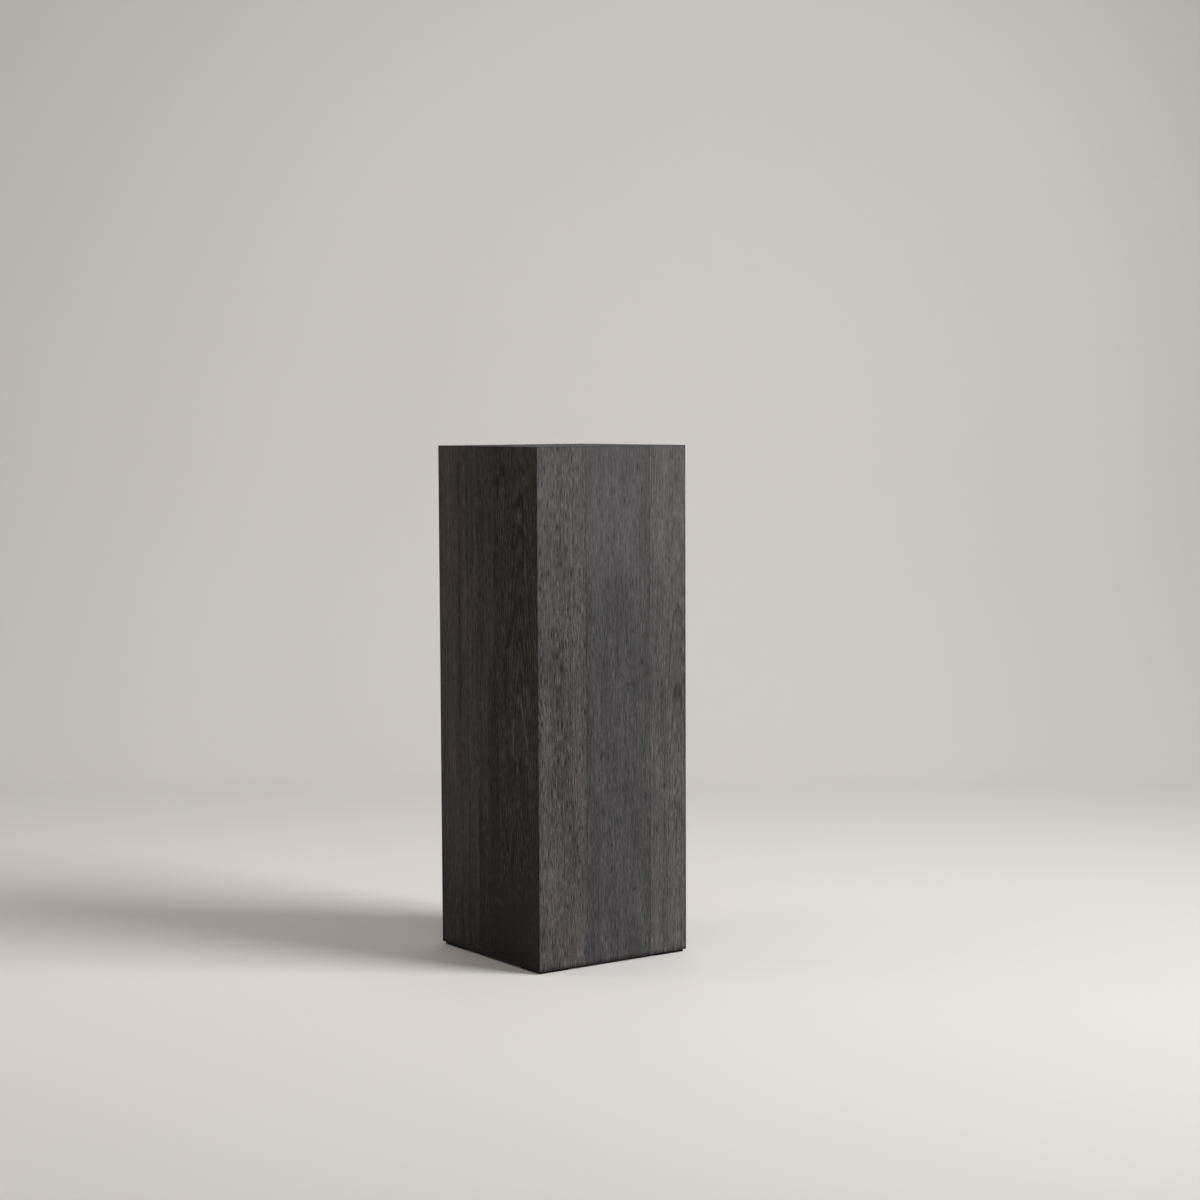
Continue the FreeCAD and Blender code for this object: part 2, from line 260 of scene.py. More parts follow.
class Finish:
    """A material, made of wires."""

    def __init__(self, name):
        self.material = bpy.data.materials.new(name)
        self.material.use_nodes = True
        self.tree = self.material.node_tree
        self.tree.nodes.clear()
        output = self.tree.nodes.new("ShaderNodeOutputMaterial")
        self.shader = self.tree.nodes.new("ShaderNodeBsdfPrincipled")
        self.tree.links.new(self.shader.outputs[0], output.inputs["Surface"])

    def add(self, kind, settings, values, output=0):
        """One node: its settings first, then its sockets' values or wires."""
        node = self.tree.nodes.new(kind)
        for name, value in settings.items():
            if name == "stops":
                self.set_stops(node.color_ramp, value)
            else:
                setattr(node, name, value)
        for name, value in values.items():
            self.feed(node.inputs[name], value)
        return Wire(self, node.outputs[output])

    @staticmethod
    def set_stops(ramp, stops):
        while len(ramp.elements) < len(stops):
            ramp.elements.new(1.0)
        for element, (place, shade) in zip(ramp.elements, stops):
            element.position = place
            element.color = (*shade, 1.0)

    def feed(self, socket, value):
        if isinstance(value, Wire):
            self.tree.links.new(value.socket, socket)
        elif socket.type == "RGBA" and len(value) == 3:
            socket.default_value = (*value, 1.0)
        else:
            socket.default_value = value

    def place(self):
        """The piece's own coordinates in millimetres, as three wires."""
        here = self.add("ShaderNodeTexCoord", {}, {}, "Object")
        parts = self.add("ShaderNodeSeparateXYZ", {}, {0: here}).socket.node
        return [Wire(self, parts.outputs[i]) * (1 / MM) for i in range(3)]

    def point(self, x, y, z):
        return self.add("ShaderNodeCombineXYZ", {}, {0: x, 1: y, 2: z})

    def noise(self, point, detail=2.0, roughness=0.5):
        """Smooth noise around zero, from about -1 to 1."""
        values = {"Vector": point, "Scale": 1.0, "Detail": detail, "Roughness": roughness}
        return (self.add("ShaderNodeTexNoise", {}, values) - 0.5) * 2.0

    def mixed(self, first, second, share):
        settings = {"data_type": "RGBA", "clamp_factor": True}
        return self.add("ShaderNodeMix", settings, {0: share, 6: first, 7: second}, 2)

    def tinted(self, colour_wire, amount):
        """A colour times a number."""
        settings = {"operation": "SCALE"}
        return self.add("ShaderNodeVectorMath", settings, {0: colour_wire, "Scale": amount})

    def ramp(self, share, stops):
        return self.add("ShaderNodeValToRGB", {"stops": stops}, {0: share})

    def bump(self, height, distance, strength):
        values = {"Height": height, "Distance": distance, "Strength": strength}
        return self.add("ShaderNodeBump", {}, values)

    def surface(self, **values):
        """Feeds the shader's sockets by their names and gives the material."""
        for name, value in values.items():
            title = name.replace("_", " ").title().replace("Ior", "IOR")
            self.feed(self.shader.inputs[title], value)
        return self.material


def settings_of(group):
    return getattr(bpy.context.scene, group)


# Black-stained wood. Every board was cut from its own place in its own tree: the middle of the
# tree, the pith, stands at pith_x along the face and pith_depth behind its surface, level with
# pith_height, and leans away from it by lean, in parts of one.


MATT, TOP_MATT = 0.54, 0.58

# Where along a board its low tone, its high tone (painted light and sheen, lighter towards
# the top) and its low brown cast begin and are full, in millimetres from the floor.
LOW_END = (420.0, 0.0)
PAINTED_LIGHT_END = (560.0, 940.0)
BROWN_END = (560.0, 60.0)

# How far from a board's cut ends or joint line the darkening has gone and is full, in
# millimetres, and how much darker it is. At the joints it is darker stain, at the foot
# painted contact shade, and near the top ends the boards are simply darker.
TOP_END = (3.0, 0.5, 0.12)
UPPER_END = (4.0, 0.5, 0.14)
PAINTED_FOOT_SHADE = (9.0, 1.0, 0.3)
JOINT_STAIN = (0.7, 0.15, 0.25)


class Figure:
    """How one board looks. Places are in millimetres from the face's left edge and its low end."""

    def __init__(self, pith_x, pith_depth, pith_height=500.0, lean=0.0, spacing=5.0, **other):
        self.pith_x, self.pith_depth, self.pith_height = pith_x, pith_depth, pith_height
        self.lean, self.spacing = lean, spacing
        # On the front boards, tone and high also hold painted light and sheen.
        self.tone = other.get("tone", 0.0)  # lighter or darker than the rest
        # On the left boards, tone and low also hold painted shade, darkest towards the floor.
        self.low = other.get("low", 0.0)  # the same towards the low end
        self.high = other.get("high", 0.0)  # and towards the high end, as painted light and sheen
        self.rings = other.get("rings", 0.6)  # strength of the growth rings
        self.fleck = other.get("fleck", 1.0)  # strength of the short light and dark dashes
        self.brown = other.get("brown", 0.0)  # share of brown cast, and of blue below zero
        self.low_brown = other.get("low_brown", 0.0)  # the same towards the low end
        self.matt = other.get("matt", MATT)  # roughness
        self.waves = other.get("waves", 6.0)  # how far the grain wanders
        self.knots = other.get("knots", ())  # (x, height, half width, half length)
        self.streaks = other.get("streaks", ())  # (x, height, x, height, half width, strength)


FIGURES = {
    # The front boards are painted lighter all over and more so towards the top: painted light and
    # sheen from the key light, over the wood's own tone.
    "front_left_board": Figure(
        55, 150, spacing=9.0, tone=0.13, low=0.02, high=0.11, fleck=1.45, brown=0.02,
        low_brown=0.2, rings=0.5,
        streaks=(
            (77, 910, 79, 760, 2.6, -0.35), (34, 820, 33, 740, 2.0, -0.3),
            (30, 230, 34, 60, 16.0, -0.1),
        ),
    ),
    "front_middle_board": Figure(
        190, 260, spacing=11.0, tone=0.10, high=0.15, fleck=0.85, brown=-0.15, rings=0.35,
        streaks=((122, 900, 120, 100, 9.0, 0.08), (225, 300, 226, 220, 12.0, 0.10)),
    ),
    "front_right_board": Figure(
        331, 8, 180, 0.06, 5.0, tone=0.22, low=0.06, high=0.13, fleck=1.1, brown=0.02,
        low_brown=0.12, waves=7.0, rings=0.85,
    ),
    # The left boards are painted darker, most towards the floor and the near corner: partly the
    # wood's own tone, partly painted shade.
    "left_back_board": Figure(
        40, 170, spacing=8.0, tone=-0.05, low=-0.16, fleck=0.7, brown=0.55, rings=0.6,
        streaks=((75, 990, 76, 400, 3.0, 0.22), (40, 960, 44, 640, 12.0, -0.08)),
    ),
    "left_middle_board": Figure(
        120, 220, spacing=7.0, tone=-0.15, low=-0.36, fleck=0.95, brown=0.6, rings=0.6,
        streaks=((196, 640, 188, 20, 13.0, 0.22), (144, 980, 144, 300, 2.0, -0.2)),
    ),
    "left_front_board": Figure(
        290, 4, 430, 0.10, 6.5, tone=-0.18, low=-0.34, fleck=1.2, brown=0.6, waves=9.0, rings=1.5,
        knots=((240, 952, 6, 11), (300, 147, 4, 8), (290, 392, 5, 11)),
        streaks=(
            (281, 712, 262, 655, 4.0, 0.8), (262, 655, 240, 610, 6.5, 0.8),
            (240, 610, 236, 470, 9.0, 0.35), (266, 490, 262, 395, 4.0, -0.6),
            (290, 530, 318, 420, 4.0, -0.6), (262, 388, 288, 398, 4.5, 0.7),
            (266, 262, 257, 141, 4.0, 0.8), (240, 268, 243, 220, 3.5, 0.6),
            (215, 112, 205, 8, 26.0, 0.4), (207, 600, 207, 150, 8.0, 0.2),
            (303, 940, 303, 760, 2.5, 0.45), (308, 940, 308, 600, 2.5, -0.3),
            (218, 940, 218, 895, 2.6, 0.6), (268, 840, 266, 800, 4.0, 0.6),
            (300, 560, 335, 470, 12.0, -0.22),
        ),
    ),
    "right_front_board": Figure(30, 90, spacing=7.5, tone=0.0, fleck=1.1, brown=0.15),
    "right_middle_board": Figure(
        160, 12, 640, 0.05, 7.0, tone=0.02, fleck=0.9, brown=-0.15, rings=0.9, waves=9.0,
    ),
    "right_back_board": Figure(
        300, 150, spacing=8.0, tone=-0.02, fleck=1.2, brown=0.25,
        streaks=((262, 800, 268, 520, 7.0, 0.14),),
    ),
    "back_right_board": Figure(
        90, 30, 300, 0.06, 7.0, tone=0.01, fleck=1.2, brown=0.2, rings=0.8,
    ),
    "back_middle_board": Figure(210, 180, spacing=9.0, tone=-0.03, fleck=0.9, brown=-0.3),
    "back_left_board": Figure(
        280, 60, 700, 0.05, 7.0, tone=0.02, fleck=1.1, brown=0.15, knots=((296, 655, 6, 12),),
        streaks=((288, 640, 282, 520, 4.0, 0.2),),
    ),
    "top_left_board": Figure(
        55, 150, spacing=9.0, tone=0.06, fleck=1.4, brown=0.1, matt=TOP_MATT,
    ),
    "top_middle_board": Figure(
        190, 260, spacing=11.0, tone=0.05, fleck=0.9, brown=-0.15, matt=TOP_MATT,
    ),
    "top_right_board": Figure(
        320, 30, 150, 0.05, 6.5, tone=0.1, brown=0.0, rings=0.8, matt=TOP_MATT,
    ),
}


def grain_place(finish, face):
    """Wires along the face, from its surface in and along the grain, in millimetres."""
    turn = FACES[face][0].inverted()
    here = finish.place()
    wires = []
    for row in turn.to_3x3():
        axis = max(range(3), key=lambda i: abs(row[i]))
        wires.append(here[axis] * row[axis])
    return [wire + turn.translation[i] / MM for i, wire in enumerate(wires)]


def knot_mask(across, along, knot):
    x, height, half_width, half_length = knot
    return (((across - x) / half_width) ** 2.0 + ((along - height) / half_length) ** 2.0).root()


def streak_mask(across, along, streak):
    x0, height0, x1, height1, half_width, strength = streak
    share = ((along - height0) / (height1 - height0)).clamped()
    middle = x0 + share * (x1 - x0)
    ends = ((share - 0.5) * 2.0).size().between(1.0, 0.6)
    return (across - middle).bell(half_width) * ends * strength


def darker_by(distance, gone, full, amount):
    return distance.between(gone, full) * amount


def stained_wood(name, face, low, high, figure, seed):
    """Open-pored wood under a black stain, with the grain along the board."""
    finish = Finish(f"stained_wood_{name}")
    paint = settings_of("plinth_colours")
    across, depth, along = grain_place(finish, face)
    width = FACES[face][1] / MM
    shift = 37.0 * seed

    # The grain wanders slowly along the board.
    slow = finish.point(across / 90.0 + shift, depth / 90.0, along / 330.0)
    quick = finish.point(across / 26.0, depth / 26.0 + shift, along / 85.0)
    wander = (finish.noise(slow, 1.0) + finish.noise(quick, 1.0) * 0.3) * figure.waves

    # Growth rings round the pith, drawn in tight round each knot.
    x = across - figure.pith_x + wander
    y = depth + figure.pith_depth + (along - figure.pith_height) * figure.lean + wander * 0.4
    reach = (x * x + y * y).root()
    knots = [knot_mask(across + wander * 0.5, along, knot) for knot in figure.knots]
    for distance, knot in zip(knots, figure.knots):
        reach = reach + distance.bell(2.6) * (knot[2] * 1.9)
    ring = reach / figure.spacing
    ring = ring + finish.noise(finish.point(across / 6.0, shift, along / 60.0)) * 0.35
    late = ring.fraction().between(0.3, 0.9) * ring.fraction().between(1.0, 0.9)
    each = finish.add(
        "ShaderNodeTexWhiteNoise", {"noise_dimensions": "1D"}, {"W": ring.floor() + shift}
    )

    # Fibres, and dashes where the pores were cut open, all following the grain.
    bent = across + wander * 0.8

    def grain(width, size, offset, detail=2.0, roughness=0.55):
        point = finish.point(bent / width + offset, depth / width, along / size + shift)
        return finish.noise(point, detail, roughness)

    patch = grain(48.0, 150.0, 3.0)
    broad = grain(22.0, 330.0, 5.0)
    fibre = grain(4.0, 110.0, 7.0, 4.0, 0.68)
    dash = grain(2.0, 22.0, 11.0, 2.0, 0.6)
    fleck = grain(1.3, 9.0, 13.0)
    pore = grain(0.65, 9.0, 17.0, 1.0)

    strength = figure.fleck * (0.8 + 0.6 * patch)
    light_dash = dash.between(0.03, 0.42)
    dark_dash = dash.between(-0.03, -0.42)
    light_fleck = fleck.between(0.1, 0.5)
    open_pore = pore.between(0.22, 0.5)

    tone = 0.40 + figure.tone + patch * 0.17 + broad * 0.17 + fibre * 0.36
    tone = tone + (light_dash * 0.44 - dark_dash * 0.4 + light_fleck * 0.34) * strength
    # Darker towards the floor on the left boards: partly their own tone, partly painted shade.
    tone = tone + along.between(*LOW_END) * figure.low
    # Painted light and sheen: the front boards grow lighter towards the top.
    tone = tone + along.between(*PAINTED_LIGHT_END) * figure.high
    tone = tone - late * (0.08 + 0.2 * each) * figure.rings
    for distance in knots:
        tone = tone - distance.between(1.5, 0.5) * 0.45
    for streak in figure.streaks:
        edge = across + wander * 0.25 + dash * 1.5 + patch * 4.0
        tone = tone - streak_mask(edge, along, streak) * (0.7 + 0.6 * fibre)
    # The boards are darker near their top ends, the joints drank more stain, and the foot
    # of the boards is darkened with painted contact shade.
    if face == "top":
        tone = tone - darker_by(width / 2 - (along - width / 2).size(), *TOP_END)
    else:
        tone = tone - darker_by(HEIGHT / MM - along, *UPPER_END)
        # Painted contact shade along the foot of the side boards.
        tone = tone - darker_by(along - BODY_LOW / MM, *PAINTED_FOOT_SHADE)
    for edge in (low, high):
        tone = tone - darker_by((across - edge / MM).size(), *JOINT_STAIN)
    tone = tone.clamped()

    stops = [(0.0, paint.pore), (0.22, paint.dark), (0.5, paint.middle), (1.0, paint.light)]
    wood = finish.ramp(tone, stops)
    cast = paint.warm if figure.brown > 0 else paint.cool
    share = (abs(figure.brown) * (1.0 + 0.8 * patch)).clamped()
    share = (share + along.between(*BROWN_END) * (1.0 + patch) * figure.low_brown).clamped()
    wood = finish.mixed(wood, finish.tinted(plain(finish, cast), tone * 2.0), share)
    wood = finish.mixed(wood, paint.pore, open_pore * 0.5)

    gloss = figure.matt + open_pore * 0.18 + dark_dash * 0.12 - light_dash * 0.03 + patch * 0.04
    height = fibre * 0.35 + light_dash * 0.4 - dark_dash * 0.7 - open_pore * 0.8 + late * 0.4
    for distance in knots:
        height = height + distance.between(1.6, 0.8) * 0.6
    finish.surface(specular_ior_level=0.28)
    return finish.surface(
        base_color=wood,
        roughness=gloss.clamped(0.3, 0.9),
        normal=finish.bump(height, 0.14 * MM, 0.6),
    )


def plain(finish, shade):
    """A plain colour as a wire, so that it can be multiplied."""
    return finish.point(*shade)


def pressed_beech():
    """Beech in thin straight rings."""
    paint = settings_of("plinth_colours")
    finish = Finish("pressed_beech")
    x, y, z = finish.place()
    warp = finish.noise(finish.point(x / 60.0, y / 60.0, z / 300.0 + 5.0), 2.0)
    ring = ((x + y * 0.6 + warp * 9.0) / 2.1).fraction().between(0.2, 0.95)
    fibre = finish.noise(finish.point(x / 0.9, y / 0.9, z / 30.0 + 5.0), 3.0, 0.6)
    share = (ring * 0.55 + fibre * 0.3 + 0.1).clamped()
    wood = finish.mixed(paint.beech, tuple(0.6 * c for c in paint.beech), share)
    return finish.surface(
        base_color=wood,
        roughness=(0.62 + fibre * 0.1).clamped(),
        normal=finish.bump(fibre + ring, 0.15 * MM, 0.4),
    )


def pine_along(name, axis, seed):
    """Planed pine with its rings seen along one axis."""
    paint = settings_of("plinth_colours")
    finish = Finish(name)
    here = finish.place()
    along = here.pop(axis)
    side, other = here
    warp = finish.noise(finish.point(side / 50.0, other / 50.0, along / 260.0 + seed), 2.0)
    reach = ((side + warp * 5.0) ** 2.0 + (other + 90.0) ** 2.0).root()
    late = (reach / 3.4).fraction().between(0.35, 0.95)
    fibre = finish.noise(finish.point(side / 0.8, other / 0.8, along / 26.0 + seed), 3.0, 0.6)
    share = (late * 0.6 + fibre * 0.25 + 0.05).clamped()
    wood = finish.mixed(paint.pine, paint.pine_line, share)
    return finish.surface(
        base_color=wood,
        roughness=(0.6 + fibre * 0.1).clamped(),
        normal=finish.bump(fibre + late, 0.15 * MM, 0.4),
    )


def plywood(name, node, plies):
    """Birch plywood: a quiet face, and the plies as lines on its edges."""
    paint = settings_of("plinth_colours")
    finish = Finish(name)
    x, y, z = finish.place()
    low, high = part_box(node)
    warp = finish.noise(finish.point(x / 70.0, y / 260.0, z / 70.0), 3.0)
    figure = ((x + warp * 26.0) / 11.0).fraction().between(0.1, 0.9)
    fibre = finish.noise(finish.point(x / 0.9, y / 32.0, z / 0.9), 3.0, 0.6)
    share = (figure * 0.16 + fibre * 0.12 + 0.1).clamped()
    face = finish.mixed(paint.birch, paint.birch_edge, share)
    ply = ((z - low.z / MM) / ((high.z - low.z) / MM / plies)).floor()
    odd = (ply * 0.5).fraction() * 2.0
    edge = finish.mixed(paint.birch, paint.birch_edge, odd * 0.75 + fibre * 0.1)
    turned = finish.add("ShaderNodeNewGeometry", {}, {}, "True Normal")
    up = Wire(finish, finish.add("ShaderNodeSeparateXYZ", {}, {0: turned}).socket.node.outputs[2])
    wood = finish.mixed(edge, face, up.size().between(0.4, 0.6))
    return finish.surface(
        base_color=wood,
        roughness=(0.6 + fibre * 0.1).clamped(),
        normal=finish.bump(fibre, 0.1 * MM, 0.35),
    )


def screw_steel():
    """Zinc-plated steel, yellowed, with a little handling dirt."""
    paint = settings_of("plinth_colours")
    finish = Finish("screw_steel")
    x, y, z = finish.place()
    cloud = finish.noise(finish.point(x / 3.0, y / 3.0, z / 3.0), 3.0)
    scratch = finish.noise(finish.point(x / 0.3, y / 0.3, z / 2.0), 2.0)
    shade = finish.tinted(plain(finish, paint.zinc), (0.85 + cloud * 0.2).clamped())
    return finish.surface(
        base_color=shade,
        metallic=1.0,
        roughness=(0.34 + cloud * 0.08 + scratch * 0.06).clamped(0.15, 0.7),
        normal=finish.bump(scratch, 0.03 * MM, 0.4),
    )


def foot_rubber():
    """Matt moulded rubber, scuffed and dusty towards the floor."""
    paint = settings_of("plinth_colours")
    finish = Finish("foot_rubber")
    x, y, z = finish.place()
    grain = finish.noise(finish.point(x / 0.6, y / 0.6, z / 0.6), 2.0)
    cloud = finish.noise(finish.point(x / 18.0, y / 18.0, z / 3.0), 3.0)
    dust = (z.between(1.6, 0.0) * 0.35 + cloud * 0.25).clamped()
    shade = finish.mixed(paint.rubber, paint.dust, dust * 0.5)
    finish.surface(specular_ior_level=0.2)
    return finish.surface(
        base_color=shade,
        roughness=(0.74 + grain * 0.08).clamped(),
        normal=finish.bump(grain, 0.08 * MM, 0.5),
    )


# Board meshes.

# Where the mesh's lines lie across an eased edge, as shares of its radius, and across half a
# joint line, as shares of its half width.
ARRIS_LINES = (0.0, 0.3, 0.6, 1.0)
JOINT_LINES = (0.0, 0.5, 1.0, 2.0)

# Worn surfaces: how near to every edge the wear fades out, and the depth of knots and streaks.
FADE = 4 * MM
HOLLOW = 0.35 * MM
WIDEST_HOLLOW = 6  # millimetres: wider streaks are a matter of colour
WAVES = 14  # of raised grain, laid over each other


def ends_and_steps(low, high, step, first, last):
    """Places from low to high about a step apart, with the given finer places at each end."""
    inner_low, inner_high = low + first[-1], high - last[-1]
    count = max(2, round((inner_high - inner_low) / step))
    middle = np.linspace(inner_low, inner_high, count + 1)[1:-1]
    return np.concatenate([low + np.array(first), middle, high - np.array(last)[::-1]])


def raised_grain(x, z, seed):
    """Shallow valleys along the grain, 0 to 1, drifting slowly from end to end."""
    chance = np.random.default_rng(seed)
    total = np.zeros_like(x)
    for _ in range(WAVES):
        wave = chance.uniform(9, 34) * MM
        drift = chance.uniform(-0.02, 0.02)
        slow = chance.uniform(0.25, 0.7)
        start, bend = chance.uniform(0, 2 * math.pi, 2)
        wander = 2.2 * MM * np.sin(z * 2 * math.pi / slow + bend)
        total += np.cos((x + drift * z + wander) * 2 * math.pi / wave + start)
    return 0.5 - 0.5 * np.tanh(total / 4)


def hollows(x, z, figure):
    """Depth of knots and of the open streaks beside them, 0 to 1."""
    depth = np.zeros_like(x)
    for knot_x, height, half_width, half_length in figure.knots:
        away = np.hypot((x / MM - knot_x) / half_width, (z / MM - height) / half_length)
        depth += 0.8 * np.exp(-((away / 0.75) ** 2)) - 0.35 * np.exp(-(((away - 1.5) / 0.4) ** 2))
    for x0, height0, x1, height1, half_width, strength in figure.streaks:
        if half_width > WIDEST_HOLLOW or strength < 0:
            continue
        share = np.clip((z / MM - height0) / (height1 - height0), 0, 1)
        away = x / MM - (x0 + share * (x1 - x0))
        ends = np.clip(4 * (0.5 - np.abs(share - 0.5)), 0, 1)
        depth += 0.9 * ends * np.exp(-((away / half_width) ** 2))
    return depth


def board_section(low, high, width, sizes):
    """A board's section from its left outer edge round, and how many points lie outside."""
    arris, half = sizes.arris, sizes.tongue_thickness / 2
    rounding = [arris * share for share in ARRIS_LINES]
    line = [sizes.joint_width * share for share in JOINT_LINES]
    mitred_left, mitred_right = low < SMALL, high > width - SMALL
    outer = ends_and_steps(
        low, high, sizes.column, rounding if mitred_left else line,
        rounding if mitred_right else line,
    )
    section = [(x, 0.0) for x in outer]
    middle = BOARD / 2
    if mitred_right:
        section += [(high - arris, arris), (high - BOARD, BOARD)]
    else:
        end = high + sizes.tongue_length
        section += [(high, middle - half), (end, middle - half)]
        section += [(end, middle + half), (high, middle + half), (high, BOARD)]
    if mitred_left:
        section += [(low + BOARD, BOARD), (low + arris, arris)]
    else:
        end = low + sizes.tongue_length + sizes.tongue_end
        wide = half + sizes.tongue_play
        section += [(low, BOARD), (low, middle + wide), (end, middle + wide)]
        section += [(end, middle - wide), (low, middle - wide)]
    return np.array(section), len(outer)


def worn_surface(x, z, low, high, near, far, width, figure, seed, sizes):
    """How deep the outer surface lies at each place, fading out before every edge."""
    from_ends = np.minimum(z - near, far - z)
    from_sides = np.minimum(x, width - x)
    fade = np.clip(np.minimum(from_ends, from_sides) / FADE - 0.4, 0, 1)
    fade = fade * fade * (3 - 2 * fade)
    depth = sizes.ripple * raised_grain(x, z, seed) + HOLLOW * hollows(x, z, figure)
    depth = np.maximum(depth, 0.0) * fade
    for joint in (low, high):
        if SMALL < joint < width - SMALL:
            away = np.abs(x - joint) / sizes.joint_width
            meet = np.clip(1 - away, 0, 1)
            beside = np.clip(away / 4, 0, 1)
            ends = np.clip(from_ends / FADE, 0, 1)
            depth = depth * beside + sizes.joint_depth * meet * ends
    return depth


def eased(points, arris):
    """Rounds every point near the plinth's outer edges on to the eased edge."""
    inner_low = np.array((LOW.x, LOW.y, BODY_LOW)) + arris
    inner_high = np.array(HIGH) - arris
    core = np.clip(points, inner_low, inner_high)
    out = points - core
    longest = np.abs(out).max(axis=1)
    size = np.maximum(np.linalg.norm(out, axis=1), 1e-12)
    return core + out * (longest / size)[:, None]


def board_mesh(name, face, low, high, figure, seed):
    """One board: a fine outer surface, tongue or groove or mitre at each side, and its ends."""
    sizes = settings_of("plinth_sizes")
    place, width = FACES[face]
    near, far, near_mitre = (0.0, DEPTH, 1.0) if face == "top" else (BODY_LOW, HEIGHT, 0.0)
    section, outer = board_section(low, high, width, sizes)
    rounding = [sizes.arris * share for share in ARRIS_LINES]
    rows = (ends_and_steps(near, far, sizes.row, rounding, rounding) - near) / (far - near)

    x, y = section[:, 0], section[:, 1]
    start, end = near + near_mitre * y, far - y
    z = start[:, None] + (end - start)[:, None] * rows[None, :]
    x, y = (np.repeat(v[:, None], len(rows), axis=1) for v in (x, y))
    worn = worn_surface(
        x[:outer], z[:outer], low, high, near, far, width, figure, seed, sizes
    )
    y[:outer] += worn
    points = np.stack([x.ravel(), y.ravel(), z.ravel()], axis=1)

    around, count = len(section), len(rows)
    index = np.arange(around * count).reshape(around, count)
    after = np.roll(index, -1, axis=0)
    faces = np.stack([index[:, :-1], after[:, :-1], after[:, 1:], index[:, 1:]], axis=-1)
    faces = [tuple(f) for f in faces.reshape(-1, 4).tolist()]
    bottom = index[::-1, 0].tolist()
    if not near_mitre:
        # The square end's outer edge is eased underneath too.
        lip_x = np.clip(section[:outer, 0], sizes.arris, width - sizes.arris)
        lip = np.stack([lip_x, np.full(outer, sizes.arris), np.full(outer, near)], axis=1)
        lips = [len(points) + i for i in range(outer)]
        points = np.concatenate([points, lip])
        for i in range(outer - 1):
            faces.append((lips[i], lips[i + 1], int(index[i + 1, 0]), int(index[i, 0])))
        sides = index[outer:, 0].tolist()
        bottom = (lips + sides)[::-1]
        if low > SMALL:
            faces.append((lips[0], int(index[0, 0]), sides[-1]))
        if high < width - SMALL:
            faces.append((int(index[outer - 1, 0]), lips[-1], sides[0]))
    faces += [tuple(bottom), tuple(index[:, -1].tolist())]

    world = points @ np.array(place.to_3x3()).T + np.array(place.translation)
    mesh = bpy.data.meshes.new(name)
    mesh.from_pydata(eased(world, sizes.arris).tolist(), [], faces)
    tidy = bmesh.new()
    tidy.from_mesh(mesh)
    bmesh.ops.remove_doubles(tidy, verts=tidy.verts, dist=0.002 * MM)
    bmesh.ops.dissolve_degenerate(tidy, edges=tidy.edges, dist=0.001 * MM)
    bmesh.ops.recalc_face_normals(tidy, faces=tidy.faces)
    tidy.to_mesh(mesh)
    tidy.free()
    mesh.polygons.foreach_set("use_smooth", [True] * len(mesh.polygons))
    mesh.set_sharp_from_angle(angle=math.radians(25))
    return mesh


def joints_of(face):
    """Where a face's boards meet: a board's groove side is its box's low edge."""
    inverse = FACES[face][0].inverted()
    places = []
    for side in SIDES[face][1:]:
        corners = [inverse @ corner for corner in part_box(f"{face}_{side}_board")]
        places.append(min(corner.x for corner in corners))
    return places


def own_piece(name, mesh, material, slot, *replaced):
    """Shows a new piece in place of CAD nodes."""
    piece = bpy.data.objects.new(name, mesh)
    bpy.context.scene.collection.objects.link(piece)
    piece.data.materials.append(material)
    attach(piece, "root")
    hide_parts(*replaced)
    return piece


def dress(node, material):
    """Gives a CAD node its finish."""
    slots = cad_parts[node].material_slots
    if not slots:
        raise RuntimeError(f"{node} has no material slot")
    for slot in slots:
        slot.link = "OBJECT"
        slot.material = material


class Making(bpy.types.Operator):
    """What the plinth's operators have in common."""

    bl_options = {"REGISTER", "UNDO"}


class PLINTH_OT_boards(Making):
    """Make the fifteen stained boards of the shell."""

    bl_idname = "plinth.boards"
    bl_label = "Shell boards"

    def execute(self, context):
        seed = 1
        for face, sides in SIDES.items():
            edges = [0.0, *joints_of(face), FACES[face][1]]
            for side, low, high in zip(sides, edges, edges[1:]):
                node = f"{face}_{side}_board"
                figure = FIGURES[node]
                mesh = board_mesh(node, face, low, high, figure, seed)
                material = stained_wood(node, face, low, high, figure, seed)
                own_piece(f"{node}_stained", mesh, material, "black_stained_wood", node)
                seed += 1
        return {"FINISHED"}


def nodes_ending(*endings):
    found = [name for name in sorted(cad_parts) if name.endswith(endings)]
    if not found:
        raise RuntimeError(f"no node ends in {endings}")
    return found


class PLINTH_OT_inner_frame(Making):
    """Finish the posts, cleats and battens in bare pine."""

    bl_idname = "plinth.inner_frame"
    bl_label = "Posts, cleats and battens"

    def execute(self, context):
        for node in nodes_ending("_post"):
            dress(node, pine_along(f"pine_{node}", 2, len(node)))
        for seed, node in enumerate(nodes_ending("_cleat", "_batten")):
            low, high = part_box(node)
            axis = 0 if high.x - low.x > high.y - low.y else 1
            dress(node, pine_along(f"pine_{node}", axis, seed))
        return {"FINISHED"}


class PLINTH_OT_panels(Making):
    """Finish the base board and the brace board in birch plywood."""

    bl_idname = "plinth.panels"
    bl_label = "Base and brace boards"

    def execute(self, context):
        dress("base_board", plywood("plywood_base", "base_board", 11))
        dress("brace_board", plywood("plywood_brace", "brace_board", 9))
        return {"FINISHED"}


class PLINTH_OT_biscuits(Making):
    """Finish the biscuits in pressed beech."""

    bl_idname = "plinth.biscuits"
    bl_label = "Biscuits"

    def execute(self, context):
        beech = pressed_beech()
        for node in nodes_ending("_biscuits"):
            dress(node, beech)
        return {"FINISHED"}


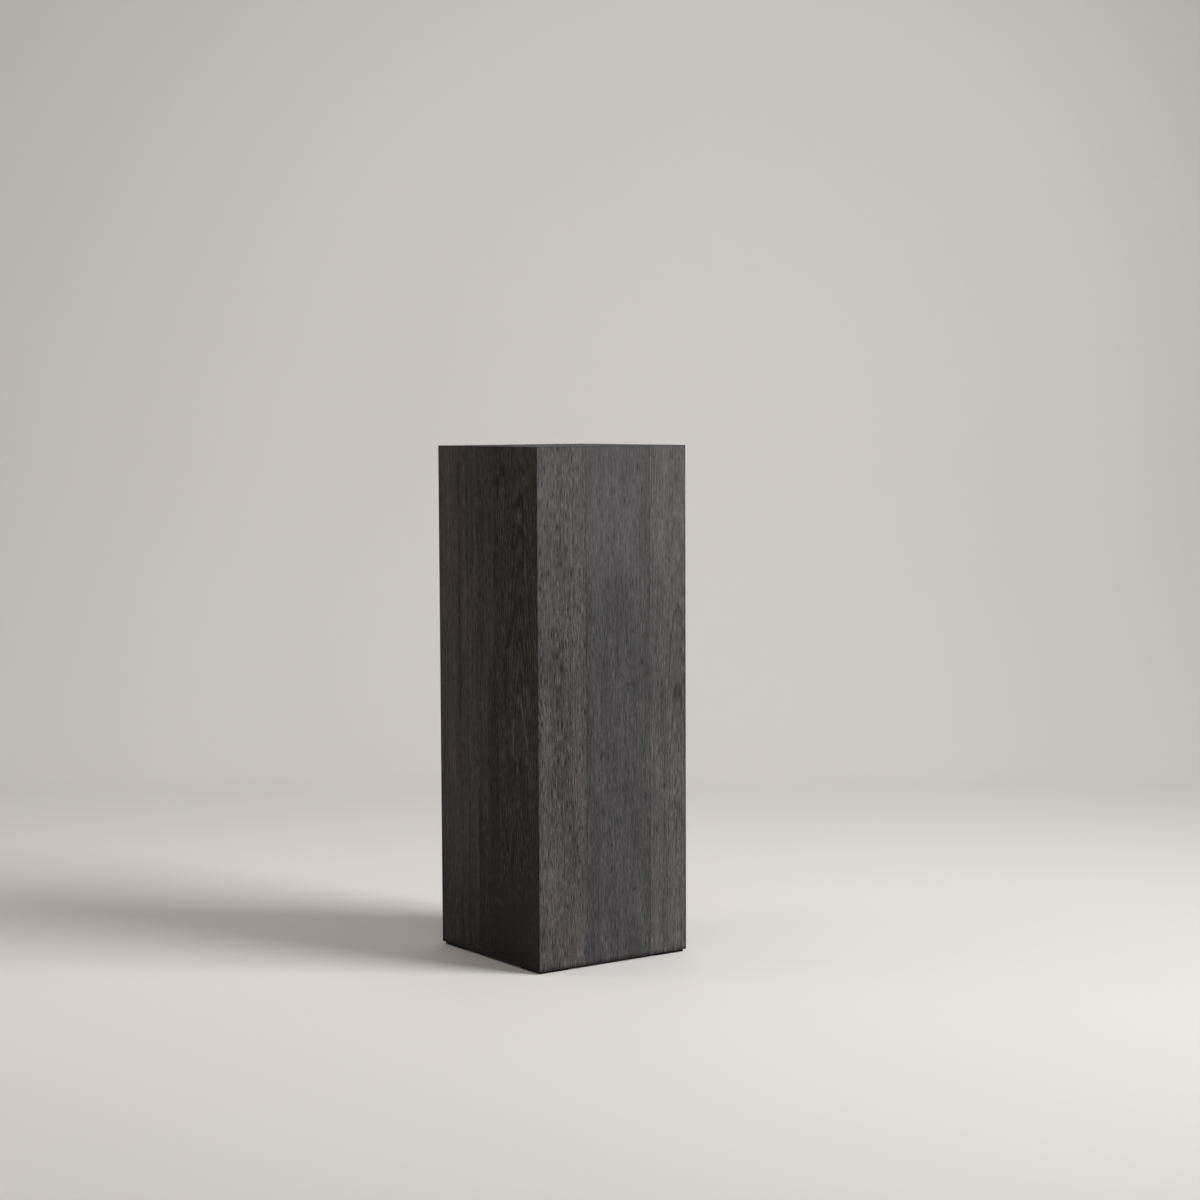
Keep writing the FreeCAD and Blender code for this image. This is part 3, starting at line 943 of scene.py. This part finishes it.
class PLINTH_OT_screws(Making):
    """Finish the wood screws in passivated zinc."""

    bl_idname = "plinth.screws"
    bl_label = "Screws"

    def execute(self, context):
        steel = screw_steel()
        for node in nodes_ending("_screws"):
            dress(node, steel)
        return {"FINISHED"}


class PLINTH_OT_feet(Making):
    """Finish the four feet in black rubber."""

    bl_idname = "plinth.feet"
    bl_label = "Feet"

    def execute(self, context):
        rubber = foot_rubber()
        for node in nodes_ending("_foot"):
            dress(node, rubber)
        return {"FINISHED"}


# Studio.


def look_axes(studio):
    """The camera's right, up and forward."""
    turn, tilt, roll = studio.turn, studio.tilt, studio.roll
    level = Vector((math.sin(turn), math.cos(turn), 0))
    side = Vector((math.cos(turn), -math.sin(turn), 0))
    forward = level * math.cos(tilt) - UP * math.sin(tilt)
    up = UP * math.cos(tilt) + level * math.sin(tilt)
    right = side * math.cos(roll) + up * math.sin(roll)
    up = up * math.cos(roll) - side * math.sin(roll)
    return right, up, forward


def studio_sweep(paint, level, side):
    """A floor that curves up into a backdrop behind the plinth."""
    behind, front, half_width = 3.0, 14.0, 12.0  # how far it reaches from the plinth
    bend, wall, steps = 0.9, 3.2, 24  # radius of the curve, the wall above it, rows in the curve
    path = [(-front, 0.0), (behind - bend, 0.0)]
    for i in range(1, steps + 1):
        rise = i / steps * math.pi / 2
        path.append((behind - bend + bend * math.sin(rise), bend - bend * math.cos(rise)))
    path.append((behind, bend + wall))
    points, faces = [], []
    for forward, up in path:
        for edge in (-half_width, half_width):
            points.append(level * forward + side * edge + UP * up)
    for i in range(len(path) - 1):
        faces.append((2 * i, 2 * i + 1, 2 * i + 3, 2 * i + 2))
    mesh = bpy.data.meshes.new("studio_sweep")
    mesh.from_pydata(points, [], faces)
    mesh.polygons.foreach_set("use_smooth", [True] * len(mesh.polygons))
    sweep = bpy.data.objects.new("studio_sweep", mesh)
    bpy.context.scene.collection.objects.link(sweep)
    finish = Finish("studio_paper")
    x, y, z = finish.place()
    cloud = finish.noise(finish.point(x / 900.0, y / 900.0, z / 900.0), 3.0)
    shade = finish.tinted(plain(finish, paint.floor), 0.985 + cloud * 0.015)
    finish.surface(base_color=shade, roughness=0.7)
    sweep.data.materials.append(finish.material)


def soft_light(name, place, target, size, watts, shade, spread=180, in_gloss=True):
    """A square panel of the given side, aimed at the target. The spread is in degrees."""
    light = bpy.data.lights.new(name, "AREA")
    light.shape, light.size = "SQUARE", size
    light.energy, light.color, light.spread = watts, shade, math.radians(spread)
    lamp = bpy.data.objects.new(name, light)
    lamp.location = place
    lamp.rotation_mode = "QUATERNION"
    lamp.rotation_quaternion = (target - place).to_track_quat("-Z", "Y")
    lamp.visible_camera, lamp.visible_glossy = False, in_gloss
    bpy.context.scene.collection.objects.link(lamp)


class PLINTH_OT_studio(Making):
    """Set up the floor, the lights and the camera."""

    bl_idname = "plinth.studio"
    bl_label = "Studio"

    def execute(self, context):
        studio, paint = settings_of("plinth_studio"), settings_of("plinth_colours")
        right, up, forward = look_axes(studio)
        level = Vector((forward.x, forward.y, 0)).normalized()
        side = Vector((level.y, -level.x, 0))
        studio_sweep(paint, level, side)

        camera = bpy.data.cameras.new("camera")
        camera.lens, camera.sensor_width, camera.sensor_fit = studio.lens, 36.0, "HORIZONTAL"
        holder = bpy.data.objects.new("camera", camera)
        holder.matrix_world = Matrix.Translation(studio.camera) @ Matrix(
            (right, up, -forward)
        ).transposed().to_4x4()
        context.scene.collection.objects.link(holder)
        context.scene.camera = holder

        middle = UP * (HEIGHT * 0.5)
        # Two panels share the key's place: gloss shows only the weaker one.
        key_place = middle + side * 4.0 - level * 1.45 + UP * 2.9
        key_target = UP * (HEIGHT * 1.3)
        for name, share, in_gloss in (
            ("key", 1.0 - studio.sheen, False), ("key_sheen", studio.sheen, True)
        ):
            soft_light(
                name, key_place, key_target, 2.4, studio.key * share, (1.0, 0.985, 0.985),
                spread=105, in_gloss=in_gloss,
            )
        soft_light(
            "fill", Vector((-1.7, 1.0, 1.9)), middle, 1.0, studio.fill, (1.0, 0.87, 0.76),
        )
        soft_light(
            "overhead", UP * 3.4 - level * 0.3, middle, 3.0, studio.overhead,
            (1.0, 0.99, 0.97),
        )
        world = bpy.data.worlds.new("studio_air")
        world.use_nodes = True
        background = world.node_tree.nodes["Background"]
        background.inputs["Color"].default_value = (1.0, 0.965, 0.925, 1.0)
        background.inputs["Strength"].default_value = studio.ambient
        context.scene.world = world
        context.scene.view_settings.view_transform = "Standard"
        return {"FINISHED"}


# Each group of settings, under its name in the scene.
GROUPS = {
    "plinth_sizes": PlinthSizes,
    "plinth_colours": PlinthColours,
    "plinth_studio": PlinthStudio,
}
OPERATORS = (
    PLINTH_OT_boards,
    PLINTH_OT_inner_frame,
    PLINTH_OT_panels,
    PLINTH_OT_biscuits,
    PLINTH_OT_screws,
    PLINTH_OT_feet,
    PLINTH_OT_studio,
)


class PLINTH_PT_sidebar(bpy.types.Panel):
    """Lists the plinth's operators and settings."""

    bl_label = "Display plinth"
    bl_idname = "PLINTH_PT_sidebar"
    bl_space_type = "VIEW_3D"
    bl_region_type = "UI"
    bl_category = "Plinth"

    def draw(self, context):
        for group in GROUPS:
            box = self.layout.box()
            for name in GROUPS[group].__annotations__:
                box.prop(getattr(context.scene, group), name)
        for operator in OPERATORS:
            self.layout.operator(operator.bl_idname)


def register():
    for kind in (*GROUPS.values(), *OPERATORS, PLINTH_PT_sidebar):
        bpy.utils.register_class(kind)
    for name, kind in GROUPS.items():
        setattr(bpy.types.Scene, name, bpy.props.PointerProperty(type=kind))


def unregister():
    for name in GROUPS:
        delattr(bpy.types.Scene, name)
    for kind in (PLINTH_PT_sidebar, *reversed(OPERATORS), *reversed(GROUPS.values())):
        bpy.utils.unregister_class(kind)


def main():
    register()
    bpy.ops.plinth.boards()
    bpy.ops.plinth.inner_frame()
    bpy.ops.plinth.panels()
    bpy.ops.plinth.biscuits()
    bpy.ops.plinth.screws()
    bpy.ops.plinth.feet()
    bpy.ops.plinth.studio()


if __name__ == "__main__":
    main()
